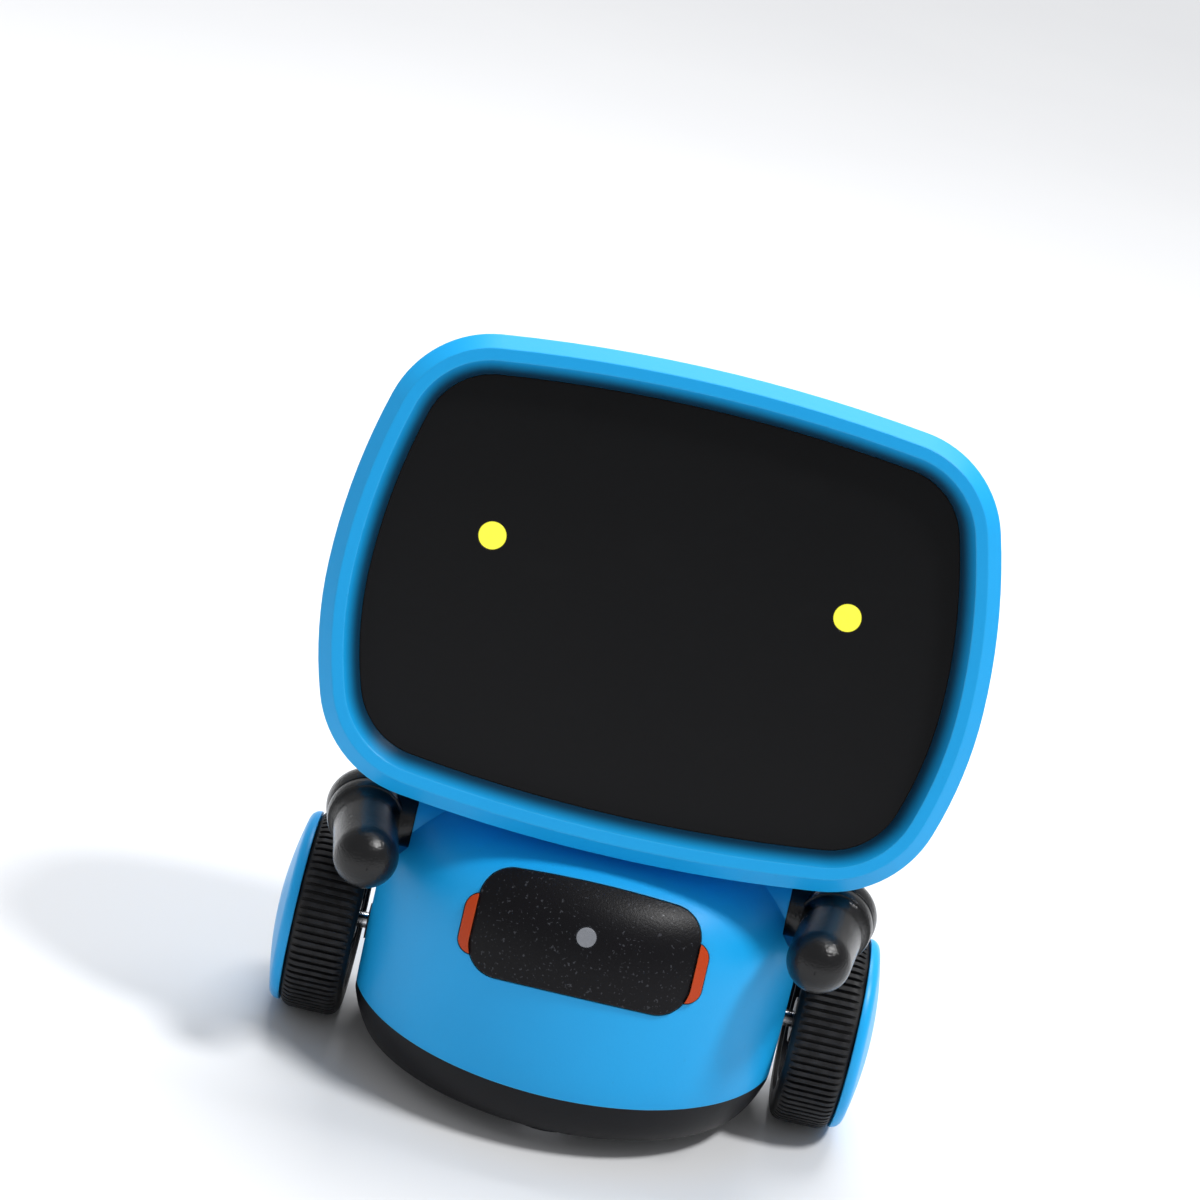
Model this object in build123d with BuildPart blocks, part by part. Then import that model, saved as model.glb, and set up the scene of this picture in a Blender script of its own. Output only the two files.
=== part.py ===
from build123d import *
from math import asin, atan2, cos, degrees, hypot, pi, radians, sin, sqrt, tan
import os

# Small companion robot: a leaning TV-shaped head that pans on an egg-shaped torso, two swinging
# arms, two geared drive wheels and two ball casters.  Millimetres, +Z up, the face looks to -Y,
# and the origin is on the floor under the middle of the torso.  Right means +X.

# Fits
running = 0.05  # radial clearance of a turning shaft
slip = 0.15  # clearance round a loose static fit
gap = 0.3  # gap between neighbours that move

# Head outline, measured on the face, which leans back
head_width = 113.4
head_height = 84.4
face_lean = 15.0
face_y = -15.0
face_z = 94.3
widest_at = -4.0
crown_radius = 290.0
upper_side_radius = 110.0
lower_side_radius = 72.0
top_corner_radius = 19.0
bottom_corner_radius = 20.0

# Head front shell, depths counted back from the face
bevel_width = 2.4
bevel_depth = 2.2
rim_width = 2.0
recess_depth = 4.0
recess_inset = 6.8
lens_thickness = 1.5
ledge_inset = 10.0
ledge_thickness = 2.0
front_depth = 10.0
front_draft = 0.6
head_wall = 2.2
channel_inset = 5.4
channel_start = 3.8
lip_thickness = 1.4
lip_length = 2.0

# Head back shell
back_length = 39.0
back_power = 2.6
back_cut = 0.93
head_floor_z = 53.0
head_floor = 2.5

# Eyes, their lamps and their board
eye_x = 30.8
eye_up = 6.35
eye_radius = 2.33
eye_flange = 3.2
eye_flange_thickness = 0.9
board_thickness = 1.6
board_inset = 8.2
lamp_radius = 1.8

# Screws and their posts
head_screw_x = 43.5
head_screw_up = 24.0
post_radius = 3.2
well_radius = 2.4
well_floor = 6.0
screw_head_radius = 2.1
screw_head_height = 1.4
screw_radius = 0.9
screw_bite = 3.6

# Speaker
speaker_radius = 14.0
speaker_depth = 6.0
speaker_magnet = 8.0
grille_pitch = 3.2
grille_hole = 0.9
grille_rings = 3

# Neck
neck_y = -1.0
neck_radius = 9.0
neck_bore = 6.5
neck_foot_radius = 12.0
neck_foot = 2.5
collar_radius = 14.0
collar_thickness = 3.0
neck_top_z = 61.0
washer_thickness = 0.8
retainer_radius = 11.6
retainer_thickness = 1.6
retainer_groove = 0.7

# Torso
torso_radius = 39.0
torso_mid_z = 24.0
torso_half_height = 28.0
torso_power = 3.6
depth_ratio = 0.92
torso_wall = 2.0
land_x = 37.4
seam_y = 4.0
base_top_z = 12.0
base_z = 4.5
base_floor = 2.0
torso_screw_x = 29.5
torso_screw_z = 43.5
base_screws = ((20.0, -20.5), (25.0, 17.5))
base_post_height = 8.0
base_well_z = 9.0

# Chest panel and side keys, laid out on a plane that leans back
chest_lean = 25.0
chest_y = -34.2
chest_z = 41.7
panel_width = 38.2
panel_height = 19.3
panel_arch = 0.9
panel_corner = 5.5
panel_proud = 0.5
panel_thickness = 1.9
panel_backing = 1.8
chest_light_radius = 1.7
chest_light_up = 0.45
key_reach = 2.0
key_height = 10.4
key_up = -1.45
key_corner = 2.6
key_cover = 3.4
key_proud = 0.9
key_depth = 3.6
key_travel = 0.8
key_stem_radius = 1.4
key_lip_gap = 0.25
chest_board_depth = 13.0
chest_board_width = 42.0
chest_board_height = 13.0
switch_size = 4.6
switch_height = 1.6

# Arms
shoulder_x = 42.3
shoulder_y = -6.0
shoulder_z = 43.9
arm_yaw = 8.0
dome_radius = 6.9
arm_seam = 2.3
flange_radius = 6.75
flange_width = 0.8
arm_neck_radius = 5.5
arm_neck_length = 2.6
arm_radius = 5.6
arm_length = 20.0
arm_wall = 1.7
hub_radius = 5.2
hub_sink = 1.6
socket_radius = 8.4
socket_x = 33.2
socket_thickness = 3.0
arm_pin_radius = 2.0
snap_radius = 2.9
snap_length = 1.8

# Wheels
axle_z = 18.0
axle_radius = 1.5
tyre_radius = 18.0
tyre_inner_x = 39.4
tyre_width = 11.0
rim_radius = 13.0
rim_wall = 1.8
web_width = 2.0
wheel_hub_radius = 4.0
tyre_shoulder = 2.4
tread_count = 80
tread_depth = 0.7
cap_radius = 17.2
cap_height = 3.9
cap_edge = 1.6
cap_round = 1.8
cap_wall = 1.6
bearing_radius = 3.2

# Casters
caster_y = 22.0
caster_ball_radius = 6.0
caster_cup_radius = 8.4
caster_flange = 10.0
caster_flange_thickness = 1.5
caster_lip_z = 2.5
caster_roof = 1.7

# Gear train, one on each side
gear_module = 0.5
pressure_angle = 25.0
addendum = 0.8
dedendum = 1.25
backlash = 0.10
pinion_teeth = 10
large_teeth = 36
small_teeth = 12
gear_width = 2.4
idler_angle = 131.8
motor_angle = 52.5
idler_pin_radius = 1.0
gearbox_x = 22.0
gearbox_plate = 1.8
gear_clear = 0.4
spacer_radius = 1.3
motor_radius = 7.7
motor_length = 20.0
motor_shaft_radius = 1.0

# Battery bay
pack_width = 38.0
pack_depth = 8.0
pack_height = 24.0
pack_corner = 2.0
pack_y = 18.2
pack_low_z = 16.8
pack_room = 0.3
tray_wall = 1.4
tray_leg_x = 16.0
tray_leg = 3.0
door_half_width = 18.0
door_low_z = 17.0
door_high_z = 42.0
door_screw_z = 38.5
door_tab = 1.3

# Main board and power switch
main_board_width = 40.0
main_board_front = -12.0
main_board_back = 11.0
main_board_post_x = 17.0
main_board_z = 16.0
switch_body_length = 9.0
switch_body_width = 4.5
switch_body_height = 3.6
slider_length = 3.2
slider_width = 1.8
slider_travel = 2.4
slider_recess = 1.2
switch_y = 4.0

# Places that follow from the sizes above
lean = radians(face_lean)
face_plane = Plane(origin=(0, face_y, face_z), x_dir=(1, 0, 0), z_dir=(0, -cos(lean), sin(lean)))
tip = radians(chest_lean)
chest_plane = Plane(origin=(0, chest_y, chest_z), x_dir=(1, 0, 0), z_dir=(0, -cos(tip), sin(tip)))
rim_inset = bevel_width + rim_width
lens_back = recess_depth + lens_thickness
ledge_back = lens_back + ledge_thickness
board_back = ledge_back + board_thickness
back_end = front_depth + back_cut * back_length
head_floor_top = head_floor_z + head_floor
collar_top = head_floor_z - washer_thickness
foot_top = collar_top - collar_thickness
axle_y = seam_y
tyre_outer_x = tyre_inner_x + tyre_width
idler_reach = gear_module * (large_teeth + small_teeth) / 2
idler_y = axle_y + idler_reach * cos(radians(idler_angle))
idler_z = axle_z + idler_reach * sin(radians(idler_angle))
motor_reach = gear_module * (large_teeth + pinion_teeth) / 2
motor_y = idler_y + motor_reach * cos(radians(motor_angle))
motor_z = idler_z + motor_reach * sin(radians(motor_angle))
near_gear_x = gearbox_x + gearbox_plate + gear_clear
far_gear_x = near_gear_x + gear_width + gear_clear
far_plate_x = far_gear_x + gear_width + gear_clear
gearbox_far_x = far_plate_x + gearbox_plate
bearing_end_x = land_x + 0.8
base_floor_top = base_z + base_floor

os.makedirs("parts", exist_ok=True)


def save(piece, label):
    """Label a finished piece and write its file."""
    piece.label = label
    export_step(piece, "parts/" + label + ".step")


def save_pair(piece, label):
    """Write a right-hand piece and its mirror image for the left."""
    save(piece, label + "_right")
    save(mirror(piece, about=Plane.YZ), label + "_left")


# ---------------------------------------------------------------------------- shared shapes


def crossing(centre_a, radius_a, centre_b, radius_b):
    """Point where two circles cross, on the left of the line from the first centre to the second."""
    across = centre_b[0] - centre_a[0]
    up = centre_b[1] - centre_a[1]
    reach = hypot(across, up)
    along = (reach**2 + radius_a**2 - radius_b**2) / (2 * reach)
    aside = sqrt(radius_a**2 - along**2)
    x = centre_a[0] + (along * across - aside * up) / reach
    y = centre_a[1] + (along * up + aside * across) / reach
    return (x, y)


def head_outline(inset, factor=1.0):
    """TV-shaped outline of the head, drawn in, then shrunk by a factor."""
    half_width = head_width / 2 - inset
    half_height = head_height / 2 - inset
    crown = crown_radius - inset
    upper = upper_side_radius - inset
    lower = lower_side_radius - inset
    crown_centre = half_height - crown
    top = crossing((half_width - upper, widest_at), upper, (0, crown_centre), crown)
    low = crossing((0, -crown_centre), crown, (half_width - lower, widest_at), lower)
    top = (factor * top[0], factor * top[1])
    low = (factor * low[0], factor * low[1])
    side = (factor * half_width, factor * widest_at)
    with BuildSketch() as outline:
        with BuildLine():
            ThreePointArc((-top[0], top[1]), (0, factor * half_height), top)
            TangentArc(side, top, tangent=(0, 1))
            TangentArc(side, low, tangent=(0, -1))
            ThreePointArc(low, (0, -factor * half_height), (-low[0], low[1]))
            TangentArc((-side[0], side[1]), (-low[0], low[1]), tangent=(0, -1))
            TangentArc((-side[0], side[1]), (-top[0], top[1]), tangent=(0, 1))
        make_face()
        for sign, radius in ((1, top_corner_radius), (-1, bottom_corner_radius)):
            corners = outline.vertices().filter_by(lambda v: v.Y * sign > half_height * factor / 2)
            fillet(corners, factor * (radius - inset))
    return outline.sketch


def head_layer(inset_a, depth_a, inset_b, depth_b):
    """Solid between two head outlines at two depths behind the face."""
    with BuildPart() as layer:
        with BuildSketch(face_plane.offset(-depth_a)):
            add(head_outline(inset_a))
        with BuildSketch(face_plane.offset(-depth_b)):
            add(head_outline(inset_b))
        loft(ruled=True)
    return layer.part


def back_factor(depth, length):
    """Share of full size that the back shell keeps at a depth."""
    return (1 - ((depth - front_depth) / length) ** back_power) ** (1 / back_power)


def head_back(wall):
    """Rounded back of the head, drawn in by a wall thickness."""
    steps = (0, 0.3, 0.52, 0.68, 0.79, 0.87, back_cut)
    last = back_end - wall
    with BuildPart() as dome:
        for step in steps:
            depth = front_depth + (last - front_depth) * step / back_cut
            with BuildSketch(face_plane.offset(-depth)):
                add(head_outline(front_draft + wall, back_factor(depth, back_length - wall)))
        loft()
    return dome.part


def slab(low_z, high_z):
    """Wide horizontal block used to trim pieces by height."""
    with BuildPart() as block:
        with Locations((0, 0, (low_z + high_z) / 2)):
            Box(300, 300, high_z - low_z)
    return block.part


def egg(grow):
    """Torso form: a squared-off egg, wider than deep, grown outwards by a distance."""
    radius = torso_radius + grow
    half = torso_half_height + grow
    flat = 0.2
    rows = (-0.8, -0.65, -0.45, -0.2, 0, 0.2, 0.4, 0.56, 0.7, 0.81, 0.89, 0.945, 0.98)
    points = [(radius * (1 - abs(r) ** torso_power) ** (1 / torso_power), r * half) for r in rows]
    end = half * (1 - flat**torso_power) ** (1 / torso_power)
    points.append((radius * flat, end))
    with BuildPart() as form:
        with BuildSketch(Plane.XZ.offset(0)):
            with BuildLine(Location((0, torso_mid_z))):
                Spline(*points)
                Polyline(points[-1], (0, end), (0, points[0][1]), points[0])
            make_face()
        revolve(axis=Axis.Z)
    return scale(form.part, by=(1, depth_ratio, 1))


def pegs(plane, spots, radius, low, high):
    """Upright round pegs on a plane, one at each spot, from one level to another."""
    with BuildPart() as group:
        with BuildSketch(plane.offset(low)):
            with Locations(*spots):
                Circle(radius)
        extrude(amount=high - low)
    return group.part


def box_on(plane, centre, size, low, high, corner=0.0):
    """Block on a plane, with rounded corners where asked."""
    with BuildPart() as block:
        with BuildSketch(plane.offset(low)):
            with Locations(centre):
                if corner > 0:
                    RectangleRounded(size[0], size[1], corner)
                else:
                    Rectangle(size[0], size[1])
        extrude(amount=high - low)
    return block.part


def screw(plane, spot, seat, length):
    """Pan-head cross-slotted screw whose shank runs down from its seat."""
    with BuildPart() as fastener:
        with BuildSketch(plane.offset(seat)):
            with Locations(spot):
                Circle(screw_head_radius)
        extrude(amount=screw_head_height)
        with BuildSketch(plane.offset(seat)):
            with Locations(spot):
                Circle(screw_radius)
        extrude(amount=-length)
        with BuildSketch(plane.offset(seat + screw_head_height)):
            with Locations(spot):
                Rectangle(2.4, 0.5)
                Rectangle(0.5, 2.4)
        extrude(amount=-0.8, mode=Mode.SUBTRACT)
    return fastener.part


side_plane = Plane(origin=(0, 0, 0), x_dir=(0, 1, 0), z_dir=(1, 0, 0))
back_plane = Plane(origin=(0, 0, 0), x_dir=(-1, 0, 0), z_dir=(0, 1, 0))
under_plane = Plane(origin=(0, 0, 0), x_dir=(1, 0, 0), z_dir=(0, 0, -1))
head_spots = [(x, up) for x in (-head_screw_x, head_screw_x) for up in (-head_screw_up, head_screw_up)]
eye_spots = [(-eye_x, eye_up), (eye_x, eye_up)]

# ---------------------------------------------------------------------------- head

# Front shell: bevelled frame with a scooped inner wall and a ledge that carries the dark lens
with BuildPart() as head_front_shell:
    add(head_layer(bevel_width, 0, 0, bevel_depth))
    add(head_layer(0, bevel_depth, front_draft, front_depth))
    add(head_layer(rim_inset, 0, recess_inset, recess_depth), mode=Mode.SUBTRACT)
    add(head_layer(recess_inset, 0, recess_inset, lens_back), mode=Mode.SUBTRACT)
    add(head_layer(ledge_inset, 0, ledge_inset, ledge_back), mode=Mode.SUBTRACT)
    add(head_layer(channel_inset, ledge_back, channel_inset, front_depth), mode=Mode.SUBTRACT)
    channel = head_layer(head_wall, channel_start, head_wall, front_depth)
    channel -= head_layer(channel_inset, channel_start, channel_inset, front_depth)
    channel &= slab(head_floor_z + head_wall, 200)
    add(channel, mode=Mode.SUBTRACT)
    add(pegs(face_plane, head_spots, post_radius, -front_depth, -lens_back - 0.5))
    add(
        pegs(face_plane, head_spots, screw_radius, -front_depth, -front_depth + screw_bite),
        mode=Mode.SUBTRACT,
    )
    add(slab(-50, head_floor_z), mode=Mode.SUBTRACT)
save(head_front_shell.part, "head_front_shell")

# Lens: one flat smoked window with a round hole for each eye
with BuildPart() as face_screen:
    add(head_layer(recess_inset + slip / 2, recess_depth, recess_inset + slip / 2, lens_back))
    add(
        pegs(face_plane, eye_spots, eye_radius + slip / 2, -lens_back, -recess_depth),
        mode=Mode.SUBTRACT,
    )
save(face_screen.part, "face_screen")

# Eyes: flanged discs pushed into the lens from behind, each with a lamp at its back
for eye_name, eye_spot in zip(("left", "right"), eye_spots):
    with BuildPart() as eye_light:
        add(pegs(face_plane, [eye_spot], eye_radius, -lens_back, -recess_depth))
        add(pegs(face_plane, [eye_spot], eye_flange, -lens_back - eye_flange_thickness, -lens_back))
    save(eye_light.part, "eye_light_" + eye_name)
lamp_front = -lens_back - eye_flange_thickness
eye_leds = pegs(face_plane, eye_spots, lamp_radius, -ledge_back, lamp_front)
save(eye_leds, "eye_leds")

# Board behind the lens, cut away round the screw posts
with BuildPart() as face_board:
    add(head_layer(board_inset, ledge_back, board_inset, board_back))
    add(
        pegs(face_plane, head_spots, post_radius + gap, -board_back, -ledge_back),
        mode=Mode.SUBTRACT,
    )
save(face_board.part, "face_board")

# Back shell: rounded cup with a flat floor round the neck, deep screw wells and a grille
grille_spots = []
for row in range(-grille_rings, grille_rings + 1):
    count = 2 * grille_rings + 1 - abs(row)
    for item in range(count):
        across = (item - (count - 1) / 2) * grille_pitch
        grille_spots.append((across, row * grille_pitch * sqrt(3) / 2))
with BuildPart() as head_back_shell:
    add(head_back(0))
    add(slab(-50, head_floor_z), mode=Mode.SUBTRACT)
    head_room = head_back(head_wall) & slab(head_floor_top, 200)
    head_room -= pegs(face_plane, head_spots, post_radius, -60, 0)
    add(head_room, mode=Mode.SUBTRACT)
    lip = head_layer(head_wall + slip, front_depth - lip_length, head_wall + slip, front_depth + 2)
    lip_core = head_wall + slip + lip_thickness
    lip -= head_layer(lip_core, front_depth - lip_length, lip_core, front_depth + 2)
    add(lip & slab(head_floor_z + head_wall + slip, 200))
    shank_radius = screw_radius + 0.2
    add(pegs(face_plane, head_spots, shank_radius, -60, 0), mode=Mode.SUBTRACT)
    add(
        pegs(face_plane, head_spots, well_radius, -60, -front_depth - well_floor),
        mode=Mode.SUBTRACT,
    )
    add(pegs(face_plane, grille_spots, grille_hole, -60, -back_end + 5), mode=Mode.SUBTRACT)
    with BuildSketch(Plane.XY.offset(head_floor_z - 1)):
        with Locations((0, neck_y)):
            Circle(neck_radius + running)
    extrude(amount=head_floor + 2, mode=Mode.SUBTRACT)
save(head_back_shell.part, "head_back_shell")

# Four screws at the bottom of the wells
behind = Plane(origin=face_plane.origin, x_dir=(-1, 0, 0), z_dir=-face_plane.z_dir)
screw_length = well_floor + screw_bite - 0.3
head_screws = [screw(behind, spot, front_depth + well_floor, screw_length) for spot in head_spots]
save(Compound(children=head_screws), "head_screws")

# Loudspeaker with its rim against the inside of the back wall
speaker_rim = back_end - head_wall
with BuildPart() as speaker:
    add(pegs(face_plane, [(0, 0)], speaker_radius, -speaker_rim, -speaker_rim + 1.2))
    with BuildSketch(face_plane.offset(-speaker_rim + 1.2)):
        Circle(speaker_radius - 1.2)
    with BuildSketch(face_plane.offset(-speaker_rim + speaker_depth - 2.2)):
        Circle(speaker_magnet + 0.8)
    loft()
    add(
        pegs(
            face_plane,
            [(0, 0)],
            speaker_magnet,
            -speaker_rim + speaker_depth - 2.2,
            -speaker_rim + speaker_depth,
        )
    )
    with BuildSketch(face_plane.offset(-speaker_rim)):
        Circle(speaker_radius - 2)
    with BuildSketch(face_plane.offset(-speaker_rim + 2.4)):
        Circle(speaker_magnet - 3)
    loft(mode=Mode.SUBTRACT)
save(speaker.part, "speaker")

# ---------------------------------------------------------------------------- neck

neck_plane = Plane(origin=(0, neck_y, 0), x_dir=(1, 0, 0), z_dir=(0, 0, 1))
retainer_low = head_floor_top + running
retainer_high = retainer_low + retainer_thickness


def ring(plane, outer, inner, low, high):
    """Flat ring or sleeve on a plane."""
    with BuildPart() as part:
        with BuildSketch(plane.offset(low)):
            Circle(outer)
            Circle(inner, mode=Mode.SUBTRACT)
        extrude(amount=high - low)
    return part.part


# Hollow pillar that carries the head and lets the wires through
with BuildPart() as neck_tube:
    add(ring(neck_plane, neck_radius, neck_bore, foot_top - neck_foot, neck_top_z))
    add(ring(neck_plane, neck_foot_radius, neck_bore, foot_top - neck_foot, foot_top))
    groove_radius = neck_radius - retainer_groove
    add(
        ring(neck_plane, neck_radius + 1, groove_radius, retainer_low, retainer_high),
        mode=Mode.SUBTRACT,
    )
    chamfer(neck_tube.edges().group_by(Axis.Z)[-1], 0.5)
save(neck_tube.part, "neck_tube")

neck_washer = ring(neck_plane, collar_radius - 1, neck_radius + slip, collar_top, head_floor_z)
save(neck_washer, "neck_washer")

# Retaining ring, split at the back so that it springs into its groove
with BuildPart() as neck_retainer:
    add(ring(neck_plane, retainer_radius, groove_radius, retainer_low, retainer_high))
    with Locations((0, neck_y + retainer_radius, (retainer_low + retainer_high) / 2)):
        Box(5, 2 * (retainer_radius - 3), 2 * retainer_thickness, mode=Mode.SUBTRACT)
save(neck_retainer.part, "neck_retainer")

# ---------------------------------------------------------------------------- torso forms

shoulder_plane = Plane(origin=(0, shoulder_y, shoulder_z), x_dir=(0, 1, 0), z_dir=(1, 0, 0))
axle_plane = Plane(origin=(0, axle_y, axle_z), x_dir=(0, 1, 0), z_dir=(1, 0, 0))


def both_sides(piece):
    """A right-hand form together with its mirror image."""
    return piece + mirror(piece, about=Plane.YZ)


def half_space(low_y, high_y):
    """Wide upright block between two depths."""
    with BuildPart() as block:
        with Locations((0, (low_y + high_y) / 2, 0)):
            Box(300, high_y - low_y, 400)
    return block.part


def centre_block(half):
    """Wide upright block that keeps what lies within a distance of the middle."""
    with BuildPart() as block:
        Box(2 * half, 300, 400)
    return block.part


def panel_prism(grow, low, high):
    """Arched rounded outline of the chest panel, raised from one level to another."""
    half = panel_width / 2 + grow
    rise = panel_height / 2 + grow
    with BuildPart() as prism:
        with BuildSketch(chest_plane.offset(low)) as outline:
            with BuildLine():
                Polyline((-half, rise - panel_arch), (-half, -rise), (half, -rise))
                Line((half, -rise), (half, rise - panel_arch))
                ThreePointArc((half, rise - panel_arch), (0, rise), (-half, rise - panel_arch))
            make_face()
            fillet(outline.vertices(), panel_corner + grow)
        extrude(amount=high - low)
    return prism.part


key_width = key_reach + key_cover
key_x = panel_width / 2 + (key_reach - key_cover) / 2


def key_prism(grow, low, high):
    """Rounded outline of the right-hand side key."""
    size = (key_width + 2 * grow, key_height + 2 * grow)
    return box_on(chest_plane, (key_x, key_up), size, low, high, key_corner + grow)


def door_block(grow):
    """Block that cuts the battery door out of the back wall."""
    centre = (0, (door_low_z + door_high_z) / 2)
    size = (2 * (door_half_width + grow), door_high_z - door_low_z + 2 * grow)
    return box_on(back_plane, centre, size, seam_y + 4, 60, 3 + grow)


torso_skin = egg(0)
torso_skin += both_sides(pegs(shoulder_plane, [(0, 0)], hub_radius + 0.6, socket_x - 10, socket_x))
torso_skin += pegs(neck_plane, [(0, 0)], collar_radius, foot_top, collar_top)
torso_skin &= centre_block(land_x)
torso_skin -= both_sides(pegs(shoulder_plane, [(0, 0)], socket_radius, socket_x, 60))

torso_room = egg(-torso_wall) & centre_block(land_x - torso_wall)
torso_room -= pegs(neck_plane, [(0, 0)], collar_radius, foot_top, 80)
shoulder_block = pegs(shoulder_plane, [(0, 0)], socket_radius + 1.5, socket_x - socket_thickness, 60)
torso_room -= both_sides(shoulder_block)
panel_low = panel_proud - panel_thickness
torso_room -= panel_prism(2.5, -15, 15) & (egg(0) - egg(panel_low - panel_backing))

post_top_z = base_top_z + base_post_height


def ribbed_post(spot):
    """Screw post with a rib that ties it to the wall outside it."""
    with BuildPart() as post:
        with BuildSketch(Plane.XY):
            with Locations(spot):
                Circle(post_radius)
                with Locations(Location((0, 0), degrees(atan2(spot[1], spot[0])))):
                    Rectangle(30, 2, align=(Align.MIN, Align.CENTER))
        extrude(amount=post_top_z)
    return post.part


for spot in base_screws:
    torso_room -= both_sides(ribbed_post(spot))
torso_case = torso_skin - (torso_room & slab(base_floor_top, 300))
torso_shell = torso_case & slab(base_top_z, 200)
torso_shell -= pegs(neck_plane, [(0, 0)], neck_radius + slip, foot_top - 1, 80)
torso_shell -= both_sides(pegs(shoulder_plane, [(0, 0)], arm_pin_radius + running, 20, 60))
snap_room = pegs(shoulder_plane, [(0, 0)], snap_radius + gap, 20, socket_x - socket_thickness)
torso_shell -= both_sides(snap_room)
torso_shell -= both_sides(pegs(axle_plane, [(0, 0)], bearing_radius + slip, 20, 60))


front_post, back_post = base_screws
screw_plane = Plane(origin=(0, 0, 0), x_dir=(-1, 0, 0), z_dir=(0, 1, 0))
torso_screw_spot = [(-torso_screw_x, torso_screw_z), (torso_screw_x, torso_screw_z)]
torso_boss_front = shoulder_y + arm_pin_radius + 1.7

# ---------------------------------------------------------------------------- torso

# Front shell: shoulders, chest recess, key windows and the front half of the neck collar
front_shell = torso_shell & half_space(-100, seam_y)
front_shell += pegs(screw_plane, torso_screw_spot, post_radius, torso_boss_front, seam_y)
front_shell -= both_sides(pegs(Plane.XY, [front_post], screw_radius, 0, base_top_z + screw_bite))
front_shell -= pegs(screw_plane, torso_screw_spot, screw_radius, torso_boss_front, seam_y)
front_shell -= panel_prism(slip, -15, 15) - egg(panel_low)
front_shell -= both_sides(key_prism(slip, -20, 15))
front_shell -= pegs(chest_plane, [(0, chest_light_up)], chest_light_radius + slip, -8, 15)
board_spots = [(x, up) for x in (-10, 10) for up in (-4.2, 4.2)]
front_shell += pegs(chest_plane, board_spots, 1.6, -chest_board_depth, -chest_board_depth + 9)
stake_low = -chest_board_depth - board_thickness - 0.7
front_shell += pegs(chest_plane, board_spots, 0.8, stake_low, -chest_board_depth)
save(front_shell, "torso_front_shell")

# Back shell: battery opening with a screw ledge above it
back_shell = torso_shell & half_space(seam_y, 100)
back_shell += pegs(screw_plane, torso_screw_spot, post_radius, seam_y, 40) & egg(-torso_wall / 2)
back_shell -= both_sides(pegs(Plane.XY, [back_post], screw_radius, 0, base_top_z + screw_bite))
back_shell -= pegs(screw_plane, torso_screw_spot, screw_radius + 0.2, 0, 40)
back_shell -= pegs(screw_plane, torso_screw_spot, well_radius, seam_y + well_floor, 40)
back_shell -= door_block(0)
ledge_box = box_on(back_plane, (0, door_high_z), (12, 12), seam_y, 60)
back_shell += ledge_box & (egg(-torso_wall) - egg(-torso_wall - 1.8))
back_shell -= pegs(back_plane, [(0, door_screw_z)], screw_radius, seam_y, 60)
save(back_shell, "torso_back_shell")

# Battery door with two tabs below and a sunk screw above
door = door_block(-slip) & (egg(0) - egg(-torso_wall))
tabs = box_on(back_plane, (-10, door_low_z), (6, 5), seam_y, 60)
tabs += box_on(back_plane, (10, door_low_z), (6, 5), seam_y, 60)
door += tabs & (egg(-torso_wall - slip) - egg(-torso_wall - slip - door_tab))
door += box_on(back_plane, (-10, door_low_z + 1.5), (6, 2), seam_y, 60) & (
    egg(-torso_wall / 2) - egg(-torso_wall - slip - door_tab)
)
door += box_on(back_plane, (10, door_low_z + 1.5), (6, 2), seam_y, 60) & (
    egg(-torso_wall / 2) - egg(-torso_wall - slip - door_tab)
)
door_seat = depth_ratio * torso_radius * 0.973 - 1.2
door -= pegs(back_plane, [(0, door_screw_z)], screw_radius + 0.2, seam_y, 60)
door -= pegs(back_plane, [(0, door_screw_z)], well_radius, door_seat, 60)
save(door, "battery_door")

# Base pan: floor, low wall, screw wells, board posts and the switch slot
pan = torso_case & slab(base_z, base_top_z)
board_posts = [(x, y) for x in (-main_board_post_x, main_board_post_x) for y in (-9.5, 8.5)]
pan += pegs(Plane.XY, board_posts, 2.2, base_z + 0.5, main_board_z)
pan += pegs(Plane.XY, board_posts, 0.9, base_z + 1, main_board_z + board_thickness + 0.7)
for spot in base_screws:
    pan -= both_sides(pegs(Plane.XY, [spot], well_radius, 0, base_well_z))
    pan -= both_sides(pegs(Plane.XY, [spot], screw_radius + 0.2, 0, 20))
caster_spots = [(0, -caster_y), (0, caster_y)]
pan -= pegs(Plane.XY, caster_spots, caster_cup_radius + slip, 0, 20)
slot_length = slider_length + slider_travel + 2 * gap
slot_width = slider_width + 2 * slip
pan -= box_on(Plane.XY, (0, switch_y), (slot_length + 2, slot_width + 2), 0, base_z + slider_recess)
pan -= box_on(Plane.XY, (0, switch_y), (slot_length, slot_width), 0, base_floor_top)
save(pan, "base_pan")

# Case screws: four from below, two from behind and one in the battery door
base_seat = -base_well_z
base_length = base_top_z - base_well_z + screw_bite - 0.3
case_screws = []
for spot in base_screws:
    for sign in (-1, 1):
        case_screws.append(screw(under_plane, (sign * spot[0], -spot[1]), base_seat, base_length))
torso_length = well_floor + screw_bite
for spot in torso_screw_spot:
    case_screws.append(screw(screw_plane, spot, seam_y + well_floor, torso_length))
case_screws.append(screw(back_plane, (0, door_screw_z), door_seat, 3.2))
save(Compound(children=case_screws), "case_screws")

# Chest panel: a curved dark plate let into the shell
chest_panel = panel_prism(0, -15, 15) & (egg(panel_proud) - egg(panel_low))
chest_panel -= pegs(chest_plane, [(0, chest_light_up)], chest_light_radius + slip / 2, -15, 15)
save(chest_panel, "chest_panel")

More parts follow.
